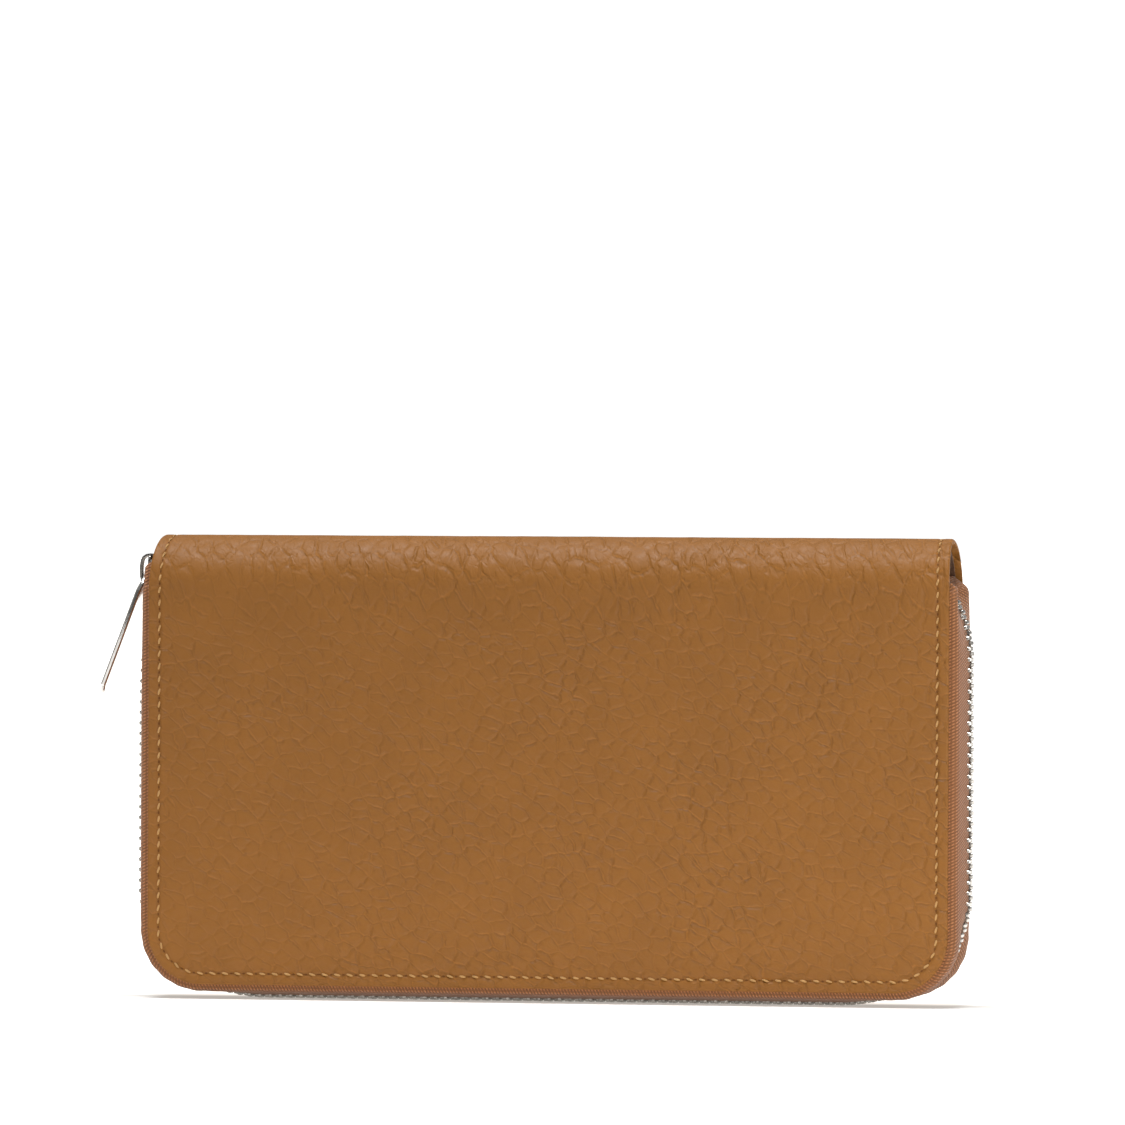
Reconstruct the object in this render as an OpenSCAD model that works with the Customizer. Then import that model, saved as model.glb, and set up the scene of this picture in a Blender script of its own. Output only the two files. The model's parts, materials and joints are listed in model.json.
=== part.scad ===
// Zip around wallet, closed and standing on its zip edge with the fold on top.
// X runs along the fold, the front cover faces -Y, Z is up and the floor is Z = 0.

/* [Covers] */
// Width of each cover between its cut side edges
cover_w = 192; // [180:1:200]
// Height of the closed wallet, from the floor to the top of the fold
wallet_h = 111; // [108:1:118]
// Radius of the covers' rounded corners
corner_r = 13; // [12:0.5:16]
// Thickness of the cover leather
leather_t = 1.2; // [1.1:0.05:1.25]

/* [Main zip] */
// How far the closed chain stands out from the cut edge of the covers
chain_proud = 4.2; // [4:0.1:4.5]
// Spacing of the teeth on one side of the chain
tooth_pitch = 2.5; // [2.5:0.1:3]
// Angle at which the side runs of the chain lean in towards the fold
side_lean = 2.2; // [0:0.2:2.4]
// Thickness of the woven tape
tape_t = 0.6; // [0.5:0.05:0.7]
// Length of the puller plate
puller_len = 30; // [24:1:34]
// Width of the puller plate
puller_w = 10; // [8:0.5:11]
// Angle between the hanging puller and the vertical
puller_tilt = 20.7; // [16:0.1:30]

/* [Inside] */
// Width of the card panels
card_panel_w = 168; // [160:1:168]
// Height of each step between two card strips
card_step = 14; // [10:1:16]
// Width of the coin pocket
pocket_w = 176; // [172:1:176]
// Free depth between the two walls of the coin pocket
pocket_gap = 5.8; // [5.8:0.1:6.2]

/* [Hidden] */
$fn = 48;
FRONT = -1;
BACK = 1;
LEFT = -1;
RIGHT = 1;
gap = 0.15;            // half the parting gap between pieces that swing apart
through = 1;           // how far a cutting shape passes beyond what it cuts
tangent_lap = 0.002;   // how far a leaning side starts inside its corner's round

// layers of one cover, from the outside in, as distances from the middle plane
half_t = 12;                               // half the thickness of the closed wallet
board_y = half_t - leather_t;              // outside of the stiffening board
lining_y = board_y - tape_t;               // outside of the lining
lining_t = 0.4;
backing_t = 0.4;
strip_t = 0.35;
backing_y = lining_y - lining_t;           // outside of the card panel's backing
strips_y = backing_y - backing_t;          // outside of the deepest card strip

// cover outline
fold_z = wallet_h - half_t;                // centre height of the fold's half round
corner_x = cover_w / 2 - corner_r;
corner_z = chain_proud + corner_r;
lining_inset = 1.5;
board_inset = 5.5;
flange_inset = 5;
sheet_top_z = fold_z - 2;                  // top of the boards and the card panels
panel_low_z = corner_z - 1;                // mouth of the card panels
first_strip_z = corner_z + 7;              // lower end of the deepest card strip

// stitching
stitch_inset = 2.7;
stitch_pitch = 3.05;
stitch_len = 2.1;
stitch_w = 0.7;
stitch_t = 0.3;
groove_w = 1;
groove_depth = 0.35;
fold_stitches = 6;          // stitches of one half on each end of the fold
fold_stitch_from = 9;       // angle from the apex to the first of them
fold_stitch_step = 14.4;

// main chain, measured across the wallet and outwards from the cover's edge
tooth_half_h = 1;
tooth_root = 3;
tooth_lap = 1;
tooth_t = 1.1;
tape_edge_y = 1.5;
chain_r = corner_r + chain_proud - tooth_half_h;    // corner radius of the chain's centre line
tape_top_z = fold_z + 9;
tunnel_r = backing_y - 0.1;                 // clear radius inside the fold
first_tooth = 16.6;
last_tooth_gap = 9.5;
foot_from = 74;
foot_to = 79.5;

// main slider, in a frame that runs with the chain
slider_s = 9.7;
slider_half_len = 5;
plate_out = 1.9;
plate_in = 1.3;
slot_half = 0.55;
wall_t = 0.7;
bail_w = 2.2;
bail_from = -3;
bail_to = 0.6;
bail_rise = 0.9;
bail_r_out = 2;
bail_r_in = 1.1;
pivot_h = plate_out + bail_rise;
bar_r = 0.6;
eye_len = 3.1;
eye_half_w = 1.45;
stop_s = 3.55;
stop_len = 1;
stop_depth = 1.3;           // reach of a top stop over its tape
stop_nose = 0.5;            // reach past the tape's edge
stop_wall_t = 0.7;
end_stop_s = 6.5;           // from the closed end of the line to the end stop
end_stop_len = 2.4;

// coin pocket and its small zip
wall_leather_t = 0.7;
wall_in = pocket_gap / 2;
wall_out = wall_in + wall_leather_t;
pocket_top_z = fold_z + 5;
coin_zip_z = 20;
coin_scale = 0.5;
coin_tape_t = 0.4;
coin_tooth_pitch = 2;
coin_tooth_t = 0.9;
coin_slider_x = -81;
coin_puller_len = 12;
coin_flange_h = 7;
coin_tape_reach = 1;        // how far the coin zip's tapes turn in under the walls
coin_tooth_reach = 2.1;
coin_tooth_h = 1.2;
coin_stop_x = 81.5;
coin_stop_len = 1.6;
coin_stop_h = 1.4;
coin_wall_z = coin_zip_z + 0.5;
binding_z = coin_zip_z + 3;
binding_w = 2;

// gussets
gusset_t = 0.4;
gusset_low_z = 34;
gusset_high_z = 96;
gusset_inset = 6.5;         // from the cover's edge to the gusset's outer edge
gusset_fold_out = 1.2;      // fold line of the gusset, beyond the card panels
gusset_lap = 0.4;           // over the coin pocket's edge
gusset_touch = 0.05;

leather_colour = [0.64, 0.43, 0.22];
lining_colour = [0.35, 0.24, 0.17];
tape_colour = [0.66, 0.46, 0.36];
metal_colour = [0.62, 0.60, 0.57];
thread_colour = [0.85, 0.68, 0.42];
board_colour = [0.75, 0.73, 0.68];

// length of one side run, one corner arc and the bottom run of a line round the wallet
function side_len(r, lean) = (wallet_h - corner_z - r * sin(lean)) / cos(lean);
function arc_len(r, lean) = r * (90 + lean) * PI / 180;
function line_len(r, lean) = 2 * side_len(r, lean) + 2 * arc_len(r, lean) + 2 * corner_x;

// direction of the line at distance s from its left top end
function line_angle(s, r, lean) =
    let (a = side_len(r, lean), b = a + arc_len(r, lean),
         c = b + 2 * corner_x, d = c + arc_len(r, lean), turn = 90 + lean)
    s < a ? turn
    : s < b ? turn * (b - s) / (b - a)
    : s < c ? 0
    : s < d ? -turn * (s - c) / (d - c)
    : -turn;

// point of the line at distance s, as [x, z]
function line_point(s, r, lean) =
    let (a = side_len(r, lean), b = a + arc_len(r, lean),
         c = b + 2 * corner_x, d = c + arc_len(r, lean), t = line_angle(s, r, lean))
    s < a ? [-corner_x - r * cos(lean) + (a - s) * sin(lean),
             corner_z + r * sin(lean) + (a - s) * cos(lean)]
    : s < b ? [-corner_x - r * sin(t), corner_z - r * cos(t)]
    : s < c ? [-corner_x + s - b, corner_z - r]
    : s < d ? [corner_x - r * sin(t), corner_z - r * cos(t)]
    : [corner_x + r * cos(lean) - (s - d) * sin(lean),
       corner_z + r * sin(lean) + (s - d) * cos(lean)];

// the puller hangs past the left side, so the wallet stands that much off centre
slider_point = line_point(slider_s, chain_r, side_lean);
pivot_x = slider_point[0] - bail_to * sin(side_lean) - pivot_h * cos(side_lean);
pivot_z = slider_point[1] - bail_to * cos(side_lean) + pivot_h * sin(side_lean);
puller_reach = puller_len * sin(puller_tilt) + bar_r * cos(puller_tilt);
left_x = pivot_x - puller_reach;
right_x = corner_x + chain_r + tooth_half_h;
origin_shift = -(left_x + right_x) / 2;

// moves the wallet to the part's origin, under the middle of everything
module placed() {
    translate([origin_shift, 0, 0]) children();
}

// an XZ outline as a layer of one half, between two distances from the middle plane
module layer(side, inner, outer) {
    translate([0, side == BACK ? outer : -inner, 0])
        rotate([90, 0, 0]) linear_extrude(outer - inner) children();
}

// U-shaped outline that runs parallel to the wallet's edge, closed at the height top
module outline(r, lean, top) {
    foot = corner_z + r * sin(lean);
    half = corner_x + r * cos(lean) - (lean > 0 ? tangent_lap : 0);
    half_top = half - (top - foot) * tan(lean);
    for (x = [-corner_x, corner_x]) translate([x, corner_z]) circle(r);
    translate([-corner_x, corner_z - r]) square([2 * corner_x, foot - corner_z + r]);
    polygon([[-half, foot], [half, foot], [half_top, top], [-half_top, top]]);
}

// band between two such outlines
module ring_outline(r_in, r_out, lean, top) {
    difference() {
        outline(r_out, lean, top);
        outline(r_in, lean, top + through);
    }
}

// a quarter of the fold's half round, from the top to one cover
module fold_quarter(side, r_in, r_out, half_w) {
    translate([0, 0, fold_z])
        rotate([0, 90, 0]) rotate([0, 0, side == BACK ? 90 : 180])
            rotate_extrude(angle = 90, $fn = 96)
                translate([r_in, -half_w]) square([r_out - r_in, 2 * half_w]);
}

// space between the two halves along the fold
module parting_gap() {
    translate([-cover_w, -gap, fold_z]) cube([2 * cover_w, 2 * gap, half_t + through]);
}

// children placed at distance s on a line round the wallet, with +X along the line
// and +Z towards the inside
module on_line(s, r, lean) {
    p = line_point(s, r, lean);
    translate([p[0], 0, p[1]]) rotate([0, line_angle(s, r, lean), 0]) children();
}

module stitch_groove(side) {
    r = corner_r - stitch_inset;
    layer(side, half_t - groove_depth, half_t + through)
        ring_outline(r - groove_w / 2, r + groove_w / 2, 0, fold_z);
    for (x = [-1, 1])
        translate([x * (corner_x + r), 0, 0])
            fold_quarter(side, half_t - groove_depth, half_t + through, groove_w / 2);
}

module cover(side) {
    difference() {
        union() {
            layer(side, board_y, half_t) outline(corner_r, 0, fold_z);
            fold_quarter(side, board_y, half_t, cover_w / 2);
        }
        stitch_groove(side);
        parting_gap();
    }
}

module board(side) {
    layer(side, lining_y, board_y) outline(corner_r - board_inset, 0, sheet_top_z);
}

module lining(side) {
    difference() {
        union() {
            layer(side, backing_y, lining_y) outline(corner_r - lining_inset, 0, fold_z);
            fold_quarter(side, backing_y, lining_y, cover_w / 2 - lining_inset);
        }
        parting_gap();
    }
}

module card_sheet(side, inner, outer, low_z) {
    layer(side, inner, outer)
        translate([-card_panel_w / 2, low_z]) square([card_panel_w, sheet_top_z - low_z]);
}

module card_backing(side) {
    card_sheet(side, strips_y, backing_y, panel_low_z);
}

// strip 1 is the deepest; each next one ends a step further from the mouth
module card_strip(side, row) {
    outer = strips_y - strip_t * (row - 1);
    card_sheet(side, outer - strip_t, outer, first_strip_z + card_step * (row - 1));
}

module stitching(side) {
    r = corner_r - stitch_inset;
    layer_y = half_t - groove_depth + stitch_t / 2;
    for (s = [half_t + stitch_pitch / 2 : stitch_pitch : line_len(r, 0) - half_t - 1])
        on_line(s, r, 0) translate([0, side * layer_y, 0])
            cube([stitch_len, stitch_t, stitch_w], center = true);
    for (x = [-1, 1], i = [0 : fold_stitches - 1])
        translate([x * (corner_x + r), 0, fold_z])
            rotate([-side * (fold_stitch_from + fold_stitch_step * i), 0, 0])
            translate([0, 0, layer_y]) cube([stitch_w, stitch_len, stitch_t], center = true);
}

// woven tape: a flange sewn under the cover's edge and a band that reaches the teeth
module zip_tape(side) {
    outer_r = chain_r + tape_t / 2;
    intersection() {
        layer(side, tape_edge_y, board_y)
            ring_outline(outer_r - tape_t, outer_r, side_lean, tape_top_z);
        union() {
            translate([-cover_w, -half_t, 0]) cube([2 * cover_w, 2 * half_t, fold_z]);
            translate([-cover_w, 0, fold_z]) rotate([0, 90, 0])
                cylinder(h = 2 * cover_w, r = tunnel_r, $fn = 96);
        }
    }
    intersection() {
        layer(side, lining_y, board_y) difference() {
            outline(chain_r, side_lean, fold_z);
            outline(corner_r - flange_inset, 0, fold_z + through);
        }
        translate([-cover_w, -half_t, 0]) cube([2 * cover_w, 2 * half_t, fold_z]);
    }
}

// one tooth, clamped on the edge of its tape
module tooth(side) {
    root = side * tooth_root;
    tip = -side * tooth_lap;
    slot = side * tape_edge_y;
    rotate([90, 0, 90]) linear_extrude(tooth_t, center = true)
        polygon([[root, -tooth_half_h], [tip, -tooth_half_h], [tip, tooth_half_h],
                 [root, tooth_half_h], [root, tape_t / 2], [slot, tape_t / 2],
                 [slot, -tape_t / 2], [root, -tape_t / 2]]);
}

// every tooth of one tape, back teeth half a pitch after the front ones
function tooth_places(side) =
    [for (s = [first_tooth + (side == BACK ? tooth_pitch / 2 : 0) : tooth_pitch
               : line_len(chain_r, side_lean) - last_tooth_gap]) s];
function on_side_run(s) = s < side_len(chain_r, side_lean);
function is_foot(s) =
    let (p = line_point(s, chain_r, side_lean))
    p[1] < corner_z - chain_r + 0.01 && abs(p[0]) > foot_from && abs(p[0]) < foot_to;

module teeth(side, places) {
    for (s = places) on_line(s, chain_r, side_lean) tooth(side);
}

module teeth_left_run(side) {
    teeth(side, [for (s = tooth_places(side)) if (on_side_run(s)) s]);
}

module teeth_main(side) {
    teeth(side, [for (s = tooth_places(side)) if (!on_side_run(s) && !is_foot(s)) s]);
}

module teeth_feet(side) {
    teeth(side, [for (s = tooth_places(side)) if (is_foot(s)) s]);
}

// small clamp on one tape above the slider
module top_stop(side) {
    on_line(stop_s, chain_r, side_lean) {
        for (z = [-1, 1])
            translate([0, side * (tape_edge_y + stop_depth / 2), z * (tape_t + stop_wall_t) / 2])
                cube([stop_len, stop_depth, stop_wall_t], center = true);
        translate([0, side * (tape_edge_y - stop_nose / 2), 0])
            cube([stop_len, stop_nose, tape_t + 2 * stop_wall_t], center = true);
    }
}

// clamp at the closed end of the chain
module end_stop() {
    on_line(line_len(chain_r, side_lean) - end_stop_s, chain_r, side_lean)
        rotate([90, 0, 90]) linear_extrude(end_stop_len, center = true) difference() {
            translate([-tooth_lap, -tooth_half_h]) square([tooth_root + tooth_lap, 2 * tooth_half_h]);
            translate([tape_edge_y, -tape_t / 2]) square([tooth_root, tape_t]);
        }
}

// plan of the slider, narrow where the closed chain leaves it
module slider_plan(inset) {
    half = [3.4, 3.6, 4.6, 4.6, 3];
    along = [slider_half_len, 0.5, -2, -3.6, -slider_half_len];
    polygon(concat([for (i = [0 : 4]) [along[i], half[i] - inset]],
                   [for (i = [4 : -1 : 0]) [along[i], inset - half[i]]]));
}

module slider_shell() {
    for (z = [-plate_out, plate_in])
        translate([0, 0, z]) linear_extrude(plate_out - plate_in) slider_plan(0);
    for (z = [-plate_in, slot_half])
        translate([0, 0, z]) linear_extrude(plate_in - slot_half) difference() {
            slider_plan(0);
            scale([1.2, 1]) slider_plan(wall_t);
        }
    translate([0, 0, -plate_in]) linear_extrude(2 * plate_in)
        polygon([[-slider_half_len, -0.9], [-slider_half_len, 0.9], [-2, 0]]);
}

module bail_profile(r) {
    for (x = [bail_from, bail_to]) translate([x, bail_rise]) circle(r, $fn = 48);
    translate([bail_from, bail_rise]) square([bail_to - bail_from, r]);
    translate([bail_from - r, 0]) square([bail_to - bail_from + 2 * r, bail_rise]);
}

// arch on the slider's outer plate that holds the puller
module bail_arch() {
    translate([0, 0, -plate_out]) rotate([-90, 0, 0]) linear_extrude(bail_w, center = true)
        intersection() {
            difference() {
                bail_profile(bail_r_out);
                bail_profile(bail_r_in);
            }
            translate([-slider_half_len, 0]) square([2 * slider_half_len, bail_rise + bail_r_out]);
        }
}

// flat plate with an eye and a round bar that turns under the bail
module puller_plate(len, w, thick) {
    chamfer = w * 0.24;
    neck = eye_half_w + 1;
    shoulder = eye_len + 0.3;
    rotate([90, 0, 0]) cylinder(h = 2 * neck, r = bar_r, center = true, $fn = 32);
    translate([0, 0, -thick / 2]) linear_extrude(thick) difference() {
        polygon([[0, -neck], [shoulder, -w / 2], [len - chamfer, -w / 2], [len, chamfer - w / 2],
                 [len, w / 2 - chamfer], [len - chamfer, w / 2], [shoulder, w / 2], [0, neck]]);
        translate([0, -eye_half_w]) square([eye_len, 2 * eye_half_w]);
    }
}

module hung_puller() {
    translate([pivot_x, 0, pivot_z]) rotate([0, 90 + puller_tilt, 0])
        puller_plate(puller_len, puller_w, 2 * bar_r);
}

module coin_wall(side) {
    layer(side, wall_in, wall_out)
        translate([-pocket_w / 2, coin_wall_z]) square([pocket_w, pocket_top_z - coin_wall_z]);
}

// strip that joins the two walls along the sides and the top
module coin_binding() {
    layer(FRONT, -wall_in, wall_in) difference() {
        translate([-pocket_w / 2, binding_z]) square([pocket_w, pocket_top_z - binding_z]);
        translate([binding_w - pocket_w / 2, coin_zip_z])
            square([pocket_w - 2 * binding_w, pocket_top_z - coin_zip_z - binding_w]);
    }
}

module coin_tapes() {
    half = pocket_w / 2 - 3;
    strip_from = wall_in - coin_tape_t - coin_tape_reach;
    for (side = [FRONT, BACK]) {
        layer(side, wall_in - coin_tape_t, wall_in)
            translate([-half, coin_zip_z - coin_tape_t / 2]) square([2 * half, coin_flange_h]);
        layer(side, strip_from, wall_in)
            translate([-half, coin_zip_z - coin_tape_t / 2]) square([2 * half, coin_tape_t]);
    }
}

module coin_teeth() {
    reach = wall_in - coin_tape_t - coin_tape_reach;
    from = coin_slider_x + slider_half_len * coin_scale + 1;
    for (side = [FRONT, BACK])
        for (x = [from + (side == BACK ? coin_tooth_pitch / 2 : 0) : coin_tooth_pitch
                  : coin_stop_x - 2])
            translate([x, side * (reach - coin_tooth_reach / 2), coin_zip_z])
                cube([coin_tooth_t, coin_tooth_reach, coin_tooth_h], center = true);
}

module coin_stop() {
    reach = wall_in - coin_tape_t - coin_tape_reach;
    translate([coin_stop_x, 0, coin_zip_z])
        cube([coin_stop_len, 2 * reach, coin_stop_h], center = true);
}

module small_slider() {
    translate([coin_slider_x, 0, coin_zip_z]) scale(coin_scale) {
        slider_shell();
        bail_arch();
    }
}

module small_puller() {
    translate([coin_slider_x + bail_to * coin_scale, 0, coin_zip_z - pivot_h * coin_scale])
        rotate([0, 90, 0]) scale(coin_scale)
            puller_plate(coin_puller_len / coin_scale, puller_w, 2 * bar_r);
}

// folded side wall of a note compartment, between a lining and the coin pocket
module gusset(side, end) {
    outer_x = cover_w / 2 - gusset_inset;
    fold_x = card_panel_w / 2 + gusset_fold_out;
    pocket_x = pocket_w / 2 - gusset_lap;
    points = [[outer_x, backing_y - gusset_touch], [fold_x, (backing_y + wall_out) / 2],
              [pocket_x, wall_out + gusset_touch]];
    translate([0, 0, gusset_low_z])
        linear_extrude(gusset_high_z - gusset_low_z)
            polygon(concat([for (p = points) [end * p[0], side * p[1]]],
                           [for (i = [2 : -1 : 0])
                               [end * (points[i][0] - gusset_t), side * points[i][1]]]));
}

module front_cover() { color(leather_colour) placed() cover(FRONT); }
module back_cover() { color(leather_colour) placed() cover(BACK); }
module front_board() { color(board_colour) placed() board(FRONT); }
module back_board() { color(board_colour) placed() board(BACK); }
module front_lining() { color(lining_colour) placed() lining(FRONT); }
module back_lining() { color(lining_colour) placed() lining(BACK); }
module front_card_backing() { color(lining_colour) placed() card_backing(FRONT); }
module back_card_backing() { color(lining_colour) placed() card_backing(BACK); }
module front_card_strip_1() { color(lining_colour) placed() card_strip(FRONT, 1); }
module front_card_strip_2() { color(lining_colour) placed() card_strip(FRONT, 2); }
module front_card_strip_3() { color(lining_colour) placed() card_strip(FRONT, 3); }
module front_card_strip_4() { color(lining_colour) placed() card_strip(FRONT, 4); }
module back_card_strip_1() { color(lining_colour) placed() card_strip(BACK, 1); }
module back_card_strip_2() { color(lining_colour) placed() card_strip(BACK, 2); }
module back_card_strip_3() { color(lining_colour) placed() card_strip(BACK, 3); }
module back_card_strip_4() { color(lining_colour) placed() card_strip(BACK, 4); }
module front_stitching() { color(thread_colour) placed() stitching(FRONT); }
module back_stitching() { color(thread_colour) placed() stitching(BACK); }
module front_zip_tape() { color(tape_colour) placed() zip_tape(FRONT); }
module back_zip_tape() { color(tape_colour) placed() zip_tape(BACK); }
module front_teeth_left_run() { color(metal_colour) placed() teeth_left_run(FRONT); }
module back_teeth_left_run() { color(metal_colour) placed() teeth_left_run(BACK); }
module front_teeth_main() { color(metal_colour) placed() teeth_main(FRONT); }
module back_teeth_main() { color(metal_colour) placed() teeth_main(BACK); }
module front_teeth_feet() { color(metal_colour) placed() teeth_feet(FRONT); }
module back_teeth_feet() { color(metal_colour) placed() teeth_feet(BACK); }
module front_top_stop() { color(metal_colour) placed() top_stop(FRONT); }
module back_top_stop() { color(metal_colour) placed() top_stop(BACK); }
module bottom_stop() { color(metal_colour) placed() end_stop(); }
module slider_body() { color(metal_colour) placed() on_line(slider_s, chain_r, side_lean) slider_shell(); }
module slider_bail() { color(metal_colour) placed() on_line(slider_s, chain_r, side_lean) bail_arch(); }
module puller() { color(metal_colour) placed() hung_puller(); }
module coin_pocket_front_wall() { color(leather_colour) placed() coin_wall(FRONT); }
module coin_pocket_back_wall() { color(leather_colour) placed() coin_wall(BACK); }
module coin_pocket_binding() { color(leather_colour) placed() coin_binding(); }
module coin_zip_tapes() { color(tape_colour) placed() coin_tapes(); }
module coin_zip_teeth() { color(metal_colour) placed() coin_teeth(); }
module coin_zip_stop() { color(metal_colour) placed() coin_stop(); }
module coin_slider() { color(metal_colour) placed() small_slider(); }
module coin_puller() { color(metal_colour) placed() small_puller(); }
module front_left_gusset() { color(lining_colour) placed() gusset(FRONT, LEFT); }
module front_right_gusset() { color(lining_colour) placed() gusset(FRONT, RIGHT); }
module back_left_gusset() { color(lining_colour) placed() gusset(BACK, LEFT); }
module back_right_gusset() { color(lining_colour) placed() gusset(BACK, RIGHT); }

front_cover();
back_cover();
front_board();
back_board();
front_lining();
back_lining();
front_card_backing();
back_card_backing();
front_card_strip_1();
front_card_strip_2();
front_card_strip_3();
front_card_strip_4();
back_card_strip_1();
back_card_strip_2();
back_card_strip_3();
back_card_strip_4();
front_stitching();
back_stitching();
front_zip_tape();
back_zip_tape();
front_teeth_left_run();
back_teeth_left_run();
front_teeth_main();
back_teeth_main();
front_teeth_feet();
back_teeth_feet();
front_top_stop();
back_top_stop();
bottom_stop();
slider_body();
slider_bail();
puller();
coin_pocket_front_wall();
coin_pocket_back_wall();
coin_pocket_binding();
coin_zip_tapes();
coin_zip_teeth();
coin_zip_stop();
coin_slider();
coin_puller();
front_left_gusset();
front_right_gusset();
back_left_gusset();
back_right_gusset();
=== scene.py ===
"""Looks of the zip around wallet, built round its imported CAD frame.

Lengths inside the functions are in millimetres from the wallet's own middle plane;
piece() turns them into metres of the frame.
"""
import json
import math
from collections import Counter

import bmesh
import bpy
import numpy as np
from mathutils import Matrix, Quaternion, Vector, noise
from mathutils.geometry import tessellate_polygon


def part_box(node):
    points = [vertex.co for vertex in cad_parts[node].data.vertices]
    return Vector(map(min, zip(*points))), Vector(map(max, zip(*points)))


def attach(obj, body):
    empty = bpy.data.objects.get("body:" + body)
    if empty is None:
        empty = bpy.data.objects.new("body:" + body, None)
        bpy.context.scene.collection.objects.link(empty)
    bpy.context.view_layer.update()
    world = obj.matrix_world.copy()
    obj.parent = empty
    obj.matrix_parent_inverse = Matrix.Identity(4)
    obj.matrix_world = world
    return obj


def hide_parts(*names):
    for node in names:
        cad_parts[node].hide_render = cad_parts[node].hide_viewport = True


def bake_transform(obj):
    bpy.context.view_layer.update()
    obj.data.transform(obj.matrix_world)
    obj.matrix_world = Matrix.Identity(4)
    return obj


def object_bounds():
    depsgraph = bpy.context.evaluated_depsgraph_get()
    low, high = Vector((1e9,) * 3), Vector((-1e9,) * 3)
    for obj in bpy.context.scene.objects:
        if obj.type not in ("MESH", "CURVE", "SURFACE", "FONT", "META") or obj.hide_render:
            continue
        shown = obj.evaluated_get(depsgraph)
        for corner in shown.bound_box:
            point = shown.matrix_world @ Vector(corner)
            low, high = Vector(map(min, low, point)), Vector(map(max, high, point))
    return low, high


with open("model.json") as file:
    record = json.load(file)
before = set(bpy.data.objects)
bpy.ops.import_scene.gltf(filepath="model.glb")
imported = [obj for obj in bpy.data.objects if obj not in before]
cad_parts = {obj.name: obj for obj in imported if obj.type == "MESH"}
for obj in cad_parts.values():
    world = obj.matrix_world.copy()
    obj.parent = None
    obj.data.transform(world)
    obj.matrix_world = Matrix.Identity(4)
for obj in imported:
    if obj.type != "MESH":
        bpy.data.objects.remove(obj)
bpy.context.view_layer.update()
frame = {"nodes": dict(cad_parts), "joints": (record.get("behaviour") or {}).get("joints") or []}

# ---- frame sizes
MM = 0.001
cover_lo, cover_hi = (np.array(c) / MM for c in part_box("front_cover"))
SHIFT = (cover_lo[0] + cover_hi[0]) / 2
HALF_W = (cover_hi[0] - cover_lo[0]) / 2
HALF_T = -cover_lo[1]
TOP_Z = cover_hi[2]
FOOT_Z = cover_lo[2]
FOLD_Z = TOP_Z - HALF_T
CORNER_R = 13.0
CORNER_X = HALF_W - CORNER_R
CORNER_Z = FOOT_Z + CORNER_R
ARC_V = HALF_T * math.pi / 2
CORNER_V = ARC_V + FOLD_Z - CORNER_Z
END_V = ARC_V + FOLD_Z - FOOT_Z
FRONT, BACK = -1, 1
SIDE_NAME = {FRONT: "front", BACK: "back"}
HALF_BODY = {FRONT: "front_half", BACK: "back_half"}
STITCH_INSET, STITCH_PITCH, STITCH_LEN, STITCH_R = 2.7, 3.0, 1.8, 0.25
STITCH_H, HOLE_H, HOLE_SIZE = -0.17, -0.27, (0.36, 0.22)
TOOTH_PITCH = 2.5


def smoothstep(t):
    t = np.clip(t, 0, 1)
    return t * t * (3 - 2 * t)


# ---- mesh helpers
class Shape:
    """Vertices, faces and texture coordinates of one piece, gathered as it is built."""

    def __init__(self):
        self.verts, self.faces, self.uvs = [], [], []

    def add(self, verts, faces, uvs=None):
        base = len(self.verts)
        self.verts.extend([float(c) for c in v] for v in verts)
        self.faces.extend([base + i for i in f] for f in faces)
        self.uvs.extend(uvs if uvs is not None else [(v[0], v[2]) for v in verts])

    def loft(self, rings, caps=True, uvs=None):
        """Skins a list of equal closed rings; caps close the first and the last."""
        n = len(rings[0])
        verts = [p for ring in rings for p in ring]
        faces = []
        for i in range(len(rings) - 1):
            for j in range(n):
                k = (j + 1) % n
                faces.append((i * n + j, i * n + k, (i + 1) * n + k, (i + 1) * n + j))
        if caps:
            faces.append(tuple(reversed(range(n))))
            faces.append(tuple((len(rings) - 1) * n + j for j in range(n)))
        self.add(verts, faces, uvs)


def piece(name, shape, material, sharp=32):
    """Makes the object in the frame, in metres, with smooth shading and sharp corners."""
    co = np.array(shape.verts, float)
    co[:, 0] += SHIFT
    mesh = bpy.data.meshes.new(name)
    mesh.from_pydata((co * MM).tolist(), [], shape.faces)
    uv_layer = mesh.uv_layers.new(name="UVMap")
    index = np.zeros(len(mesh.loops), np.int32)
    mesh.loops.foreach_get("vertex_index", index)
    uv = np.array(shape.uvs, float)[index] * MM
    uv_layer.data.foreach_set("uv", uv.astype(np.float32).ravel())
    bm = bmesh.new()
    bm.from_mesh(mesh)
    bmesh.ops.recalc_face_normals(bm, faces=bm.faces)
    bm.to_mesh(mesh)
    bm.free()
    mesh.shade_smooth()
    mesh.set_sharp_from_angle(angle=math.radians(sharp))
    mesh.materials.append(material)
    obj = bpy.data.objects.new(name, mesh)
    bpy.context.scene.collection.objects.link(obj)
    return obj


def offset_loop(points, d):
    """Moves a closed 2-D loop to its left by d, with mitred corners."""
    p = np.array(points, float)
    a, b = p - np.roll(p, 1, 0), np.roll(p, -1, 0) - p
    na = np.stack([-a[:, 1], a[:, 0]], 1) / np.linalg.norm(a, axis=1)[:, None]
    nb = np.stack([-b[:, 1], b[:, 0]], 1) / np.linalg.norm(b, axis=1)[:, None]
    m = na + nb
    m *= (d / np.maximum(np.einsum("ij,ij->i", m, na), 0.35))[:, None]
    return p + m


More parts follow.
